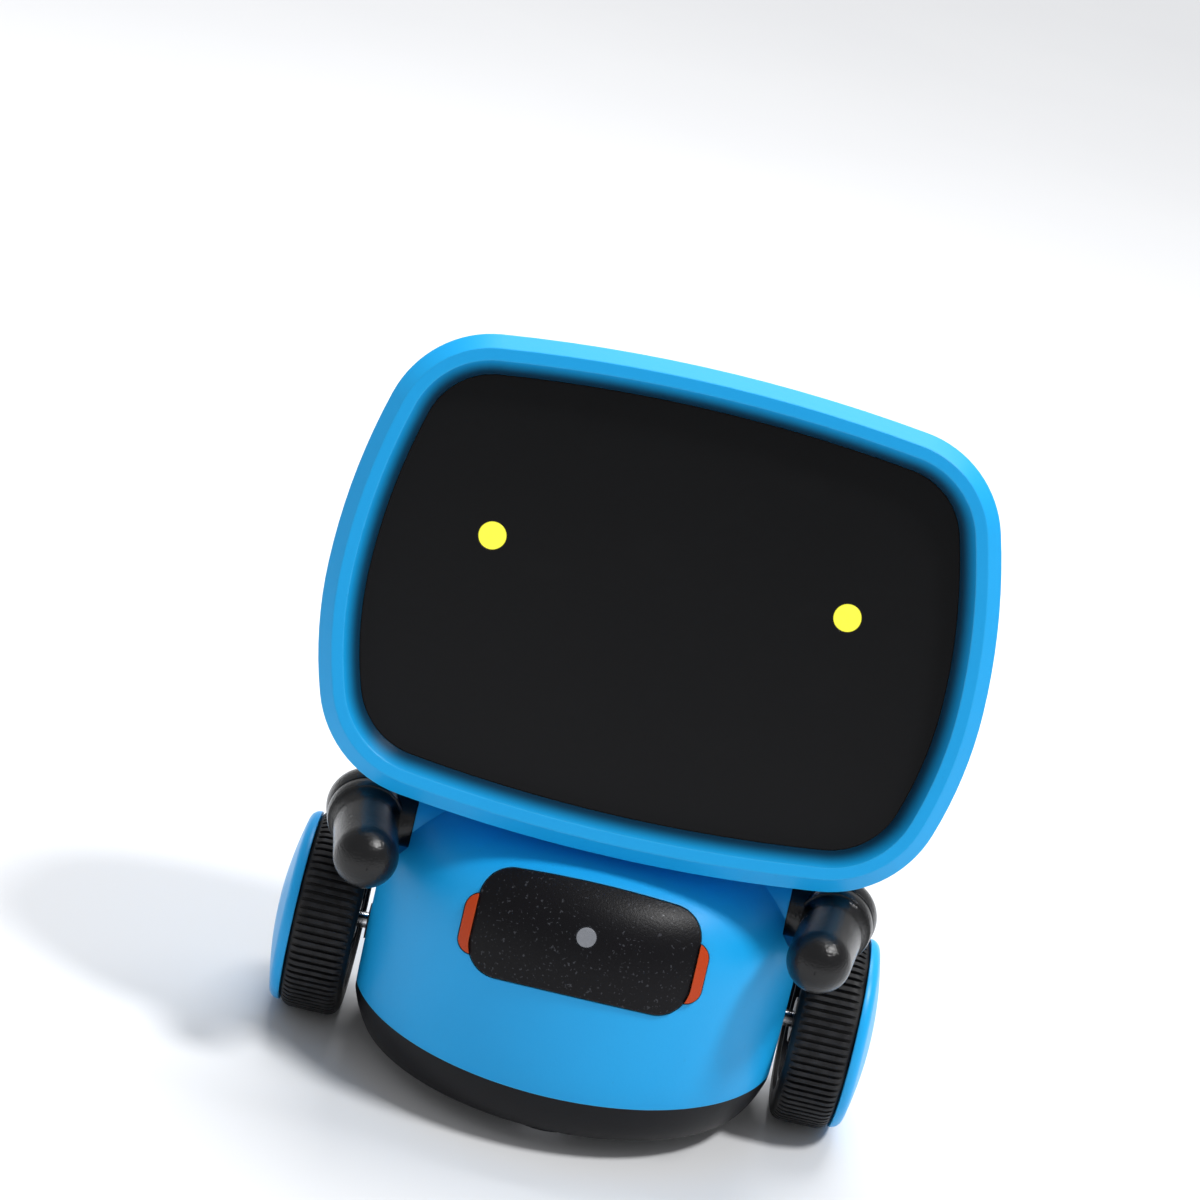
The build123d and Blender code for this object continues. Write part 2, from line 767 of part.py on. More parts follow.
# Light pipe from the chest board to the panel
pipe = pegs(chest_plane, [(0, chest_light_up)], chest_light_radius, -chest_board_depth, 5)
pipe &= egg(panel_proud + 0.15)
pipe_seat = -3.75
pipe_collar = pegs(
    chest_plane, [(0, chest_light_up)], chest_light_radius + 1.3, pipe_seat - 1.2, 0
)
pipe += pipe_collar & egg(panel_low - panel_backing - slip)
pipe -= pegs(
    chest_plane, [(0, chest_light_up)], 1.0, -chest_board_depth, -chest_board_depth + 1.1
)
save(pipe, "chest_light")

# Side keys: curved caps held behind the panel edge, each with a stem over its switch
stem_end = -chest_board_depth + switch_height + key_travel + 0.05
key = key_prism(0, -20, 15) & (egg(key_proud) - egg(key_proud - key_depth))
under_panel = egg(panel_low - key_lip_gap)
key -= panel_prism(slip, -15, 15) - under_panel
key += pegs(chest_plane, [(key_x, key_up)], key_stem_radius, stem_end, -5) & under_panel
save_pair(key, "side_key")

# Chest board with its lamp, and the two switches
with BuildPart() as chest_board:
    add(
        box_on(
            chest_plane,
            (0, 0),
            (chest_board_width, chest_board_height),
            -chest_board_depth - board_thickness,
            -chest_board_depth,
            1.0,
        )
    )
    add(pegs(chest_plane, board_spots, 0.9, -20, 0), mode=Mode.SUBTRACT)
    add(
        pegs(
            chest_plane,
            [(0, chest_light_up)],
            0.85,
            -chest_board_depth,
            -chest_board_depth + 0.9,
        )
    )
save(chest_board.part, "chest_board")
switches = []
for sign in (-1, 1):
    switch = box_on(
        chest_plane,
        (sign * key_x, key_up),
        (switch_size, switch_size),
        -chest_board_depth,
        -chest_board_depth + switch_height - 0.5,
        0.4,
    )
    switch += pegs(
        chest_plane,
        [(sign * key_x, key_up)],
        1.1,
        -chest_board_depth,
        -chest_board_depth + switch_height,
    )
    switches.append(switch)
save(Compound(children=switches), "chest_switches")

# Main board on its posts
main_mid_y = (main_board_front + main_board_back) / 2
main_depth = main_board_back - main_board_front
main_top = main_board_z + board_thickness
main_board = box_on(
    Plane.XY, (0, main_mid_y), (main_board_width, main_depth), main_board_z, main_top, 1.5
)
main_board -= pegs(Plane.XY, board_posts, 1.0, 0, 30)
main_board += box_on(Plane.XY, (-3, -4), (9, 9), main_top, main_top + 1.2)
main_board += box_on(Plane.XY, (9, 3), (6, 5), main_top, main_top + 1.4)
main_board += box_on(Plane.XY, (-12, 4), (4, 8), main_top, main_top + 3.5)
main_board += box_on(Plane.XY, (10, -7), (8, 4), main_top, main_top + 3.5)
save(main_board, "main_board")

# Battery pack in a tray that stands on the base pan
pack_high_z = pack_low_z + pack_height
pack_size = (pack_width, pack_height)
pack_mid_z = (pack_low_z + pack_high_z) / 2
pack_front = pack_y - pack_depth / 2
pack_back = pack_y + pack_depth / 2
pack = box_on(back_plane, (0, pack_mid_z), pack_size, pack_front, pack_back, pack_corner)
save(pack, "battery_pack")
room = 2 * pack_room
tray_size = (pack_width + room + 2 * tray_wall, pack_height + room + 2 * tray_wall)
tray_front = pack_front - tray_wall
tray = box_on(back_plane, (0, pack_mid_z), tray_size, tray_front, pack_back, pack_corner)
inner_size = (pack_width + room, pack_height + room)
tray -= box_on(back_plane, (0, pack_mid_z), inner_size, pack_front, pack_back + 1, pack_corner)
tray_low_z = pack_low_z - pack_room - tray_wall
for sign in (-1, 1):
    tray += box_on(
        Plane.XY,
        (sign * tray_leg_x, pack_y),
        (tray_leg, pack_depth - 2),
        base_floor_top,
        tray_low_z + 0.5,
    )
save(tray, "battery_tray")

# Power switch under the floor: a fixed body and a sliding knob
switch_low = base_floor_top
switch_high = switch_low + switch_body_height
flange_length = slider_length + 1.2
flange_width = slider_width + 1.2
cavity_length = flange_length + slider_travel + 0.4
cavity_width = flange_width + 0.3
flange_low = switch_low + 0.6
flange_high = flange_low + 1.2
switch_body = box_on(
    Plane.XY, (0, switch_y), (switch_body_length, switch_body_width), switch_low, switch_high
)
switch_body -= box_on(
    Plane.XY, (0, switch_y), (cavity_length, cavity_width), flange_low - 0.1, flange_high + 0.2
)
switch_body -= box_on(
    Plane.XY, (0, switch_y), (slot_length, slot_width), switch_low, flange_low
)
save(switch_body, "power_switch_body")
slider_x = -slider_travel / 2
slider = box_on(
    Plane.XY, (slider_x, switch_y), (slider_length, slider_width), base_z + 0.3, flange_low, 0.3
)
slider += box_on(
    Plane.XY, (slider_x, switch_y), (flange_length, flange_width), flange_low, flange_high
)
save(slider, "power_switch_slider")

# ---------------------------------------------------------------------------- casters

ball_z = caster_ball_radius
cup_top = ball_z + caster_ball_radius + gap + caster_roof
for caster_name, caster_spot in (("front", caster_spots[0]), ("back", caster_spots[1])):
    with BuildPart() as cup:
        with BuildSketch(Plane.XY.offset(caster_lip_z)):
            with Locations(caster_spot):
                Circle(caster_cup_radius)
        extrude(amount=cup_top - caster_lip_z)
        chamfer(cup.edges().group_by(Axis.Z)[-1], 3)
        chamfer(cup.edges().group_by(Axis.Z)[0], 0.8)
        with BuildSketch(Plane.XY.offset(base_floor_top)):
            with Locations(caster_spot):
                Circle(caster_flange)
        extrude(amount=caster_flange_thickness)
        with Locations((caster_spot[0], caster_spot[1], ball_z)):
            Sphere(caster_ball_radius + gap, mode=Mode.SUBTRACT)
    save(cup.part, "caster_cup_" + caster_name)
    with BuildPart() as ball:
        with Locations((caster_spot[0], caster_spot[1], ball_z)):
            Sphere(caster_ball_radius)
    save(ball.part, "caster_ball_" + caster_name)

# ---------------------------------------------------------------------------- arms

yaw = radians(arm_yaw)
shoulder = (shoulder_x, shoulder_y, shoulder_z)
arm_along = (-sin(yaw), -cos(yaw), 0)
arm_profile = Plane(origin=shoulder, x_dir=(0, 0, 1), z_dir=(cos(yaw), -sin(yaw), 0))
arm_axis = Axis(shoulder, arm_along)
hub_face = socket_x + 0.1
hub_end = shoulder_x - hub_sink
seam_gap = 0.3
flange_start = arm_seam
flange_end = flange_start + flange_width
neck_end = flange_end + arm_neck_length
dome_end = flange_start - seam_gap
dome_rim = sqrt(dome_radius**2 - dome_end**2)
hub_form = pegs(shoulder_plane, [(0, 0)], hub_radius, hub_face, hub_end)

# Forearm: flange, waisted neck, straight tube and round tip, hollow from the back
with BuildPart() as arm_shell:
    with BuildSketch(arm_profile):
        with BuildLine():
            Polyline((0, flange_start), (flange_radius - 0.2, flange_start))
            ThreePointArc(
                (flange_radius - 0.2, flange_start),
                (flange_radius, flange_start + flange_width / 2),
                (flange_radius - 0.2, flange_end),
            )
            Spline(
                (flange_radius - 0.2, flange_end),
                (arm_neck_radius + 0.25, flange_end + arm_neck_length * 0.35),
                (arm_neck_radius, neck_end),
                tangents=((-1, 0.15), (0, 1)),
            )
            Line((arm_neck_radius, neck_end), (arm_radius, neck_end + 1.5))
            Line((arm_radius, neck_end + 1.5), (arm_radius, arm_length))
            RadiusArc((arm_radius, arm_length), (0, arm_length + arm_radius), -arm_radius)
            Line((0, arm_length + arm_radius), (0, flange_start))
        make_face()
    revolve(axis=arm_axis)
    bore = arm_radius - arm_wall
    with BuildSketch(arm_profile):
        with BuildLine():
            Polyline((0, 0), (bore, 0), (bore, arm_length))
            RadiusArc((bore, arm_length), (0, arm_length + bore), -bore)
            Line((0, arm_length + bore), (0, 0))
        make_face()
    revolve(axis=arm_axis, mode=Mode.SUBTRACT)
    add(hub_form, mode=Mode.SUBTRACT)
save_pair(arm_shell.part, "arm_shell")

# Shoulder dome: round back half with a spigot that plugs the forearm
with BuildPart() as arm_dome:
    with BuildSketch(arm_profile):
        with BuildLine():
            RadiusArc((0, -dome_radius), (dome_rim, dome_end), -dome_radius)
            Polyline((dome_rim, dome_end), (bore, dome_end), (bore, flange_start + 2.5))
            Polyline((bore, flange_start + 2.5), (0, flange_start + 2.5), (0, -dome_radius))
        make_face()
    revolve(axis=arm_axis)
    with BuildSketch(arm_profile):
        Rectangle(2.6, 8.0, align=(Align.MIN, Align.MIN))
    revolve(axis=arm_axis, mode=Mode.SUBTRACT)
    add(hub_form, mode=Mode.SUBTRACT)
save_pair(arm_dome.part, "arm_dome")

# Shoulder hub: disc with a split snap pin through the torso wall
pin_end = socket_x - socket_thickness - 0.15
with BuildPart() as arm_hub:
    add(hub_form)
    add(pegs(shoulder_plane, [(0, 0)], arm_pin_radius, pin_end - snap_length, hub_face))
    with BuildSketch(shoulder_plane.offset(pin_end)):
        Circle(snap_radius)
    with BuildSketch(shoulder_plane.offset(pin_end - snap_length)):
        Circle(arm_pin_radius - 0.3)
    loft()
    add(
        box_on(shoulder_plane, (0, 0), (0.9, 8), pin_end - snap_length - 1, hub_face - 1),
        mode=Mode.SUBTRACT,
    )
save_pair(arm_hub.part, "arm_hub")

# ---------------------------------------------------------------------------- wheels


# Tyre: rounded shoulders and cross ribs all round
with BuildPart() as tyre:
    with BuildSketch(axle_plane.offset(tyre_inner_x)):
        Circle(tyre_radius - tread_depth)
        with PolarLocations(tyre_radius - tread_depth, tread_count):
            rib = 2 * pi * tyre_radius / tread_count * 0.55
            Rectangle(2 * tread_depth, rib)
        Circle(rim_radius, mode=Mode.SUBTRACT)
    extrude(amount=tyre_width)
    with BuildPart(mode=Mode.PRIVATE) as crown:
        add(pegs(axle_plane, [(0, 0)], tyre_radius, tyre_inner_x, tyre_outer_x))
        fillet(crown.edges().filter_by(GeomType.CIRCLE), tyre_shoulder)
    add(crown.part, mode=Mode.INTERSECT)
save_pair(tyre.part, "tyre")

# Rim: outer ring, web and hub pressed on the axle
rim_inner = rim_radius - rim_wall
rim_in_x = tyre_inner_x + 0.6
rim_out_x = tyre_outer_x - 0.4
web_x = rim_out_x - 4.5
rim = ring(axle_plane, rim_radius, rim_inner, rim_in_x, rim_out_x)
rim += ring(axle_plane, rim_inner + 0.5, axle_radius, web_x - web_width, web_x)
rim += ring(axle_plane, wheel_hub_radius, axle_radius, rim_in_x, rim_out_x - 1)
for turn in range(6):
    hole = (8.0 * cos(turn * pi / 3), 8.0 * sin(turn * pi / 3))
    rim -= pegs(axle_plane, [hole], 1.8, web_x - web_width - 1, web_x + 1)
save_pair(rim, "wheel_rim")

# Hub cap: shallow dome with a ring that snaps into the rim
with BuildPart() as hub_cap:
    cap_top = tyre_outer_x + cap_height
    cap_dome = cap_height - cap_edge
    crown = (cap_dome**2 + cap_radius**2) / (2 * cap_dome)
    crown_angle = degrees(asin(cap_radius / crown))
    turn_plane = Plane(origin=(0, axle_y, axle_z), x_dir=(1, 0, 0), z_dir=(0, -1, 0))
    with BuildSketch(turn_plane) as cap_profile:
        with BuildLine():
            Polyline((cap_top, 0), (tyre_outer_x, 0), (tyre_outer_x, cap_radius))
            Line((tyre_outer_x, cap_radius), (tyre_outer_x + cap_edge, cap_radius))
            CenterArc((cap_top - crown, 0), crown, 0, crown_angle)
        make_face()
        fillet(cap_profile.vertices().sort_by(Axis.Y)[-2:].sort_by(Axis.X)[-1], cap_round)
    revolve(axis=Axis((0, axle_y, axle_z), (1, 0, 0)))
    with BuildSketch(axle_plane.offset(tyre_outer_x)):
        Circle(rim_inner - 1.6)
    extrude(amount=cap_height - cap_wall - 0.6, mode=Mode.SUBTRACT)
    add(ring(axle_plane, rim_inner - slip, rim_inner - 1.6, tyre_outer_x - 2.4, tyre_outer_x + 0.2))
save_pair(hub_cap.part, "hub_cap")

# ---------------------------------------------------------------------------- gear trains


def gear_profile(teeth, phase):
    """Involute gear outline about the origin, first tooth centred on the phase angle."""
    pitch = gear_module * teeth / 2
    slant = radians(pressure_angle)
    base = pitch * cos(slant)
    outer = pitch + addendum * gear_module
    root = pitch - dedendum * gear_module
    half = (pi * gear_module / 2 - backlash / 2) / (2 * pitch) + tan(slant) - slant

    def flank(radius, side, centre):
        turn = sqrt(max((radius / base) ** 2 - 1, 0))
        angle = centre + side * (half - (turn - atan2(turn, 1)))
        return (radius * cos(angle), radius * sin(angle))

    start = max(base, root)
    middle = (start + outer) / 2
    with BuildSketch() as profile:
        with BuildLine():
            for index in range(teeth):
                centre = radians(phase) + 2 * pi * index / teeth
                following = centre + 2 * pi / teeth
                up = [flank(radius, -1, centre) for radius in (start, middle, outer)]
                down = [flank(radius, 1, centre) for radius in (outer, middle, start)]
                ThreePointArc(*up)
                crest = (outer * cos(centre), outer * sin(centre))
                ThreePointArc(up[2], crest, down[0])
                ThreePointArc(*down)
                here = atan2(down[2][1], down[2][0])
                first = flank(start, -1, following)
                foot_a = (root * cos(here), root * sin(here))
                there = atan2(first[1], first[0])
                foot_b = (root * cos(there), root * sin(there))
                if start > root:
                    Line(down[2], foot_a)
                    Line(foot_b, first)
                floor = centre + pi / teeth
                valley = (root * cos(floor), root * sin(floor))
                ThreePointArc(foot_a, valley, foot_b)
        make_face()
    return profile.sketch


def gear(teeth, phase, spot, low_x, bore):
    """Spur gear about a cross axis."""
    with BuildPart() as wheel:
        with BuildSketch(side_plane.offset(low_x)):
            with Locations(spot):
                add(gear_profile(teeth, phase))
                Circle(bore, mode=Mode.SUBTRACT)
        extrude(amount=gear_width)
    return wheel.part


def meshed(phase, teeth, angle, other_teeth):
    """Phase that puts a gear in mesh with its neighbour at an angle."""
    lag = (angle - phase) * teeth / other_teeth
    return angle + 180 + lag + 180 / other_teeth


axle_spot = (axle_y, axle_z)
idler_spot = (idler_y, idler_z)
motor_spot = (motor_y, motor_z)
axle_phase = 0
idler_phase = meshed(axle_phase, large_teeth, idler_angle, small_teeth)
motor_phase = meshed(idler_phase, large_teeth, motor_angle, pinion_teeth)

# Axle gear on the outer layer, pressed on the axle
wheel_gear = gear(large_teeth, axle_phase, axle_spot, far_gear_x, axle_radius)
wheel_gear += ring(axle_plane, 2.2, axle_radius, near_gear_x + 0.2, far_gear_x + 0.1)
save_pair(wheel_gear, "wheel_gear")

# Steel axle from the inner plate to the wheel hub
axle = pegs(axle_plane, [(0, 0)], axle_radius, gearbox_x + 0.3, rim_out_x - 1.5)
save_pair(axle, "axle")

# Double idler: large gear on the inner layer, small gear on the outer
idler_gear = gear(large_teeth, idler_phase, idler_spot, near_gear_x, idler_pin_radius + running)
idler_small = gear(small_teeth, idler_phase, idler_spot, far_gear_x, idler_pin_radius + running)
idler_plane = Plane(origin=(0, idler_y, idler_z), x_dir=(0, 1, 0), z_dir=(1, 0, 0))
idler_gear += idler_small + ring(
    idler_plane, 2.3, idler_pin_radius + running, near_gear_x + gear_width - 0.1, far_gear_x + 0.1
)
save_pair(idler_gear, "idler_gear")

# Motor, with its shaft and pinion as one turning piece
motor_plane = Plane(origin=(0, motor_y, motor_z), x_dir=(0, 1, 0), z_dir=(1, 0, 0))
motor_low_x = gearbox_x - motor_length
with BuildPart() as motor:
    add(pegs(motor_plane, [(0, 0)], motor_radius, motor_low_x + 2, gearbox_x))
    add(pegs(motor_plane, [(0, 0)], motor_radius - 1.2, motor_low_x, motor_low_x + 2))
    add(pegs(motor_plane, [(0, 0)], 2.6, gearbox_x, gearbox_x + 1))
    add(
        pegs(motor_plane, [(0, 0)], motor_shaft_radius + running, gearbox_x - 5, gearbox_x + 2),
        mode=Mode.SUBTRACT,
    )
save_pair(motor.part, "motor")
pinion = gear(pinion_teeth, motor_phase, motor_spot, near_gear_x, motor_shaft_radius / 2)
pinion += pegs(
    motor_plane, [(0, 0)], motor_shaft_radius, gearbox_x - 4.8, near_gear_x + gear_width + 0.3
)
save_pair(pinion, "motor_pinion")


spacer_spots = [(-8.6, 14.5), (12.0, 30.5)]


def plate_outline(with_motor):
    """Gearbox plate: hull round the bearings, spacers and foot."""
    with BuildSketch() as outline:
        with Locations(*spacer_spots):
            Circle(spacer_radius + 0.7)
        with Locations(axle_spot, idler_spot):
            Circle(4.2)
        with Locations((axle_y, base_floor_top + 1)):
            Rectangle(12, 2)
        if with_motor:
            with Locations(motor_spot):
                Circle(motor_radius + 0.3)
        make_hull()
    return outline.sketch


with BuildPart() as gearbox_cup:
    with BuildSketch(side_plane.offset(gearbox_x)):
        add(plate_outline(True))
    extrude(amount=gearbox_plate)
    add(pegs(side_plane, spacer_spots, spacer_radius, gearbox_x, far_plate_x))
    add(pegs(side_plane, [idler_spot], idler_pin_radius, gearbox_x, gearbox_far_x))
    add(
        box_on(
            side_plane,
            (axle_y, base_floor_top + 0.75),
            (12, 1.5),
            gearbox_x,
            far_plate_x,
        )
    )
    add(
        pegs(side_plane, [axle_spot], axle_radius + running, gearbox_x - 1, gearbox_x + 5),
        mode=Mode.SUBTRACT,
    )
    add(pegs(side_plane, [motor_spot], 2.7, gearbox_x - 1, gearbox_x + 3), mode=Mode.SUBTRACT)
save_pair(gearbox_cup.part, "gearbox_cup")
with BuildPart() as gearbox_plate_part:
    with BuildSketch(side_plane.offset(far_plate_x)):
        add(plate_outline(False))
    extrude(amount=gearbox_plate)
    add(pegs(side_plane, [axle_spot], bearing_radius, far_plate_x, bearing_end_x))
    add(
        pegs(side_plane, [axle_spot], axle_radius + running, far_plate_x - 1, bearing_end_x + 1),
        mode=Mode.SUBTRACT,
    )
    add(
        pegs(side_plane, [idler_spot], idler_pin_radius, far_plate_x - 1, gearbox_far_x + 1),
        mode=Mode.SUBTRACT,
    )
save_pair(gearbox_plate_part.part, "gearbox_plate")
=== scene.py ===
from math import cos, radians, sin

import bmesh
import bpy
from mathutils import Matrix, Vector


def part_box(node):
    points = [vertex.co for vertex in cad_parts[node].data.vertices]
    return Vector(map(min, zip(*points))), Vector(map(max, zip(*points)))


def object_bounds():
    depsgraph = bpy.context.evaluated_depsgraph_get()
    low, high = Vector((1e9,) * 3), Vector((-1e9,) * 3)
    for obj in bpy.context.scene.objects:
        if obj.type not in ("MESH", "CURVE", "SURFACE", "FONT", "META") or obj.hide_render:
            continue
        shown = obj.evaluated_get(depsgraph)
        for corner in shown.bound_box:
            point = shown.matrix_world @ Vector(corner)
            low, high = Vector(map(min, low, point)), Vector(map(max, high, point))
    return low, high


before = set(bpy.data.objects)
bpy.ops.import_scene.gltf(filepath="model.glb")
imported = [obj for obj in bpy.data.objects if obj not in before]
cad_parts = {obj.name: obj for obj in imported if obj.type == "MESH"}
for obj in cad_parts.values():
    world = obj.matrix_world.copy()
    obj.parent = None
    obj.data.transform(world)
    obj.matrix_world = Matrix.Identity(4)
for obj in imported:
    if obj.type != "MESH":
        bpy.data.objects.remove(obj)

# Small companion robot: a TV-shaped head on a pillar neck, an egg-shaped torso with two swinging
# arms, two geared drive wheels and two ball casters.  Metres, the face looks towards -Y.
cad_low, cad_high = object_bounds()

# ------------------------------------------------------------------------------ studio
# The camera looks down on the middle of the face from a step away.  It is rolled, so the robot
# leans across the picture, and set a little to one side so that all of the robot shows.
stage_scene = bpy.context.scene
stage_scene.view_settings.view_transform = "Standard"
stage_scene.view_settings.look = "None"

face_spot = Vector((0, -0.015, 0.0943))
camera_height = radians(20)
camera_roll = radians(13.09)
camera_range = 0.65
picture_width = 0.2016
spot_right = 0.0103
spot_low = 0.0026

level_right = Vector((1, 0, 0))
level_up = Vector((0, sin(camera_height), cos(camera_height)))
ahead = Vector((0, cos(camera_height), -sin(camera_height)))
picture_right = level_right * cos(camera_roll) + level_up * sin(camera_roll)
picture_up = level_up * cos(camera_roll) - level_right * sin(camera_roll)
aim = face_spot - picture_right * spot_right + picture_up * spot_low


def turned_to(right, up, back, place):
    """Matrix of something at a place, with its own axes along three directions."""
    turn = Matrix((right, up, back)).transposed().to_4x4()
    return Matrix.Translation(place) @ turn


lens = bpy.data.cameras.new("camera")
lens.sensor_width = 36
lens.lens = lens.sensor_width * camera_range / picture_width
lens.clip_start = 0.01
lens.clip_end = 50
camera = bpy.data.objects.new("camera", lens)
camera.matrix_world = turned_to(picture_right, picture_up, -ahead, aim - ahead * camera_range)
bpy.context.collection.objects.link(camera)
stage_scene.camera = camera


# Lamps: a key from high on the right, soft enough to blur its shadow, and a softbox above the
# head that draws the bright line along the top of the frame.
def shine(name, kind, towards, strength, size, reach=0.0):
    """Lamp that lights the robot from a direction given as right, up and back in the picture."""
    right, up, back = towards
    way = (picture_right * right + picture_up * up - ahead * back).normalized()
    lamp = bpy.data.lights.new(name, kind)
    lamp.energy = strength
    if kind == "SUN":
        lamp.angle = radians(size)
    else:
        lamp.shape = "RECTANGLE"
        lamp.size, lamp.size_y = size
    holder = bpy.data.objects.new(name, lamp)
    side = way.cross(Vector((0, 0, 1))).normalized()
    holder.matrix_world = turned_to(side, way.cross(side), way, face_spot + way * reach)
    bpy.context.collection.objects.link(holder)


shine("key_light", "SUN", towards=(0.62, 0.64, 0.45), strength=2.3, size=11)
shine(
    "top_softbox", "AREA", towards=(0.25, 0.95, -0.1), strength=5.2, size=(0.5, 0.3), reach=0.7
)

# Sky: an even, slightly cool white that fills the shadows, dimmer overhead than near the horizon.
sky = bpy.data.worlds.new("sky")
sky.use_nodes = True
sky_light = sky.node_tree.nodes["Background"].inputs
sky_way = sky.node_tree.nodes.new("ShaderNodeTexCoord")
sky_height = sky.node_tree.nodes.new("ShaderNodeSeparateXYZ")
sky_fade = sky.node_tree.nodes.new("ShaderNodeMapRange")
for key, value in {"From Min": 0.06, "From Max": 0.3, "To Min": 0.68, "To Max": 0.43}.items():
    sky_fade.inputs[key].default_value = value
sky.node_tree.links.new(sky_way.outputs["Generated"], sky_height.inputs["Vector"])
sky.node_tree.links.new(sky_height.outputs["Z"], sky_fade.inputs["Value"])
sky.node_tree.links.new(sky_fade.outputs["Result"], sky_light["Strength"])
sky_light["Color"].default_value = (0.97, 0.98, 1.0, 1)
stage_scene.world = sky


# ------------------------------------------------------------------------------ table
# Table top: a matt pale sheet under the wheels and casters, far wider than the picture, with a
# faint mottle and a very fine tooth.
class Socket:
    """An output of a finish's node tree that can be used in sums."""

    def __init__(self, finish, output):
        self.finish = finish
        self.output = output

    def sum(self, operation, first, second):
        return self.finish.node("ShaderNodeMath", {"operation": operation}, {0: first, 1: second})

    def __add__(self, other):
        return self.sum("ADD", self, other)

    def __sub__(self, other):
        return self.sum("SUBTRACT", self, other)

    def __rsub__(self, other):
        return self.sum("SUBTRACT", other, self)

    def __mul__(self, other):
        return self.sum("MULTIPLY", self, other)

    def __truediv__(self, other):
        return self.sum("DIVIDE", self, other)

    def __lt__(self, other):
        return self.sum("LESS_THAN", self, other)

    __radd__ = __add__
    __rmul__ = __mul__


class Finish:
    """Surface finish of one real material, built from procedural nodes."""

    def __init__(self, name):
        self.material = bpy.data.materials.new(name)
        self.material.use_nodes = True
        self.tree = self.material.node_tree
        self.tree.nodes.clear()
        self.place = self.node("ShaderNodeTexCoord", {}, {}, "Object")

    def node(self, kind, settings, inputs, out=0):
        made = self.tree.nodes.new(kind)
        for key, value in settings.items():
            setattr(made, key, value)
        for key, value in inputs.items():
            if isinstance(value, Socket):
                self.tree.links.new(value.output, made.inputs[key])
            else:
                made.inputs[key].default_value = value
        return Socket(self, made.outputs[out]) if made.outputs else made

    def vector(self, operation, first, second, out=0):
        """Vector sum of two places or directions; out is 1 where the answer is a number."""
        inputs = {0: first} if second is None else {0: first, 1: second}
        return self.node("ShaderNodeVectorMath", {"operation": operation}, inputs, out)

    def spread(self, value, low, high):
        """A value stretched so that low becomes 0 and high becomes 1, with soft ends."""
        settings = {"interpolation_type": "SMOOTHSTEP"}
        limits = {"Value": value, "From Min": low, "From Max": high}
        return self.node("ShaderNodeMapRange", settings, limits)

    def noise(self, pitch, detail=2.0, along=None, roughness=0.5):
        """Cloudy noise with lumps about one pitch across, in metres."""
        place = self.place
        if along:
            place = self.node("ShaderNodeMapping", {}, {"Vector": place, "Scale": along})
        sizes = {"Vector": place, "Scale": 1 / pitch, "Detail": detail, "Roughness": roughness}
        return self.node("ShaderNodeTexNoise", {}, sizes)

    def mix(self, share, first, second):
        """Colour that goes from the first to the second as the share goes from 0 to 1."""
        inputs = {0: share, 6: first, 7: second}
        return self.node("ShaderNodeMix", {"data_type": "RGBA"}, inputs, 2)

    def flat(self):
        """Normal of the bare mesh."""
        return self.node("ShaderNodeNewGeometry", {}, {}, "Normal")

    def rounded(self, radius):
        """Normal with every hard edge eased to a radius, and how near an edge is, 0 to 1."""
        eased = self.node("ShaderNodeBevel", {"samples": 6}, {"Radius": radius})
        same = self.vector("DOT_PRODUCT", eased, self.flat(), out=1)
        return eased, self.spread(1 - same, 0.01, 0.2)

    def bump(self, height, depth, normal):
        """Normal with a relief of a real depth in metres."""
        inputs = {"Height": height, "Distance": depth, "Strength": 1.0, "Normal": normal}
        return self.node("ShaderNodeBump", {}, inputs)

    def shade(self, colour, roughness, normal, **constants):
        """Ends the finish in a shader; constants are the sockets that are even all over."""
        inputs = {"Base Color": colour, "Roughness": roughness, "Normal": normal}
        inputs.update({key.replace("_", " "): value for key, value in constants.items()})
        shader = self.node("ShaderNodeBsdfPrincipled", {}, inputs)
        self.node("ShaderNodeOutputMaterial", {}, {"Surface": shader})
        return self.material


table_reach = 8
table_dark = (0.70, 0.705, 0.72, 1)
table_pale = (0.74, 0.745, 0.755, 1)
table_finish = Finish("table_sheet")
mottle = table_finish.noise(0.18, 3)
tooth = table_finish.noise(0.0006, 2)
table_colour = table_finish.mix(mottle, table_dark, table_pale)
table_normal = table_finish.bump(tooth, 0.00001, table_finish.flat())
table_form = bmesh.new()
table_place = Matrix.Translation((0, 0, cad_low[2]))
bmesh.ops.create_grid(
    table_form, x_segments=1, y_segments=1, size=table_reach, matrix=table_place
)
table_sheet = bpy.data.meshes.new("table")
table_form.to_mesh(table_sheet)
table_form.free()
table = bpy.data.objects.new("table", table_sheet)
bpy.context.collection.objects.link(table)
table.data.materials.append(table_finish.shade(table_colour, 0.7, table_normal))


# ------------------------------------------------------------------------------ base and casters
# Base pan, caster cups and battery tray: black ABS from textured moulds.  The pan closes the torso
# from below with four screws; the cups sit in its floor by a flange, and the tray stands on it.
# The spark texture leaves a fine grain, and handled edges go a little shiny and grey.
def dress(material, *nodes):
    """Gives a finish to carried-over solids."""
    for name in nodes:
        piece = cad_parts[name]
        piece.data.materials.clear()
        piece.data.materials.append(material)


def both(*nodes):
    """The left and right names of paired solids."""
    return [f"{name}_{side}" for name in nodes for side in ("left", "right")]


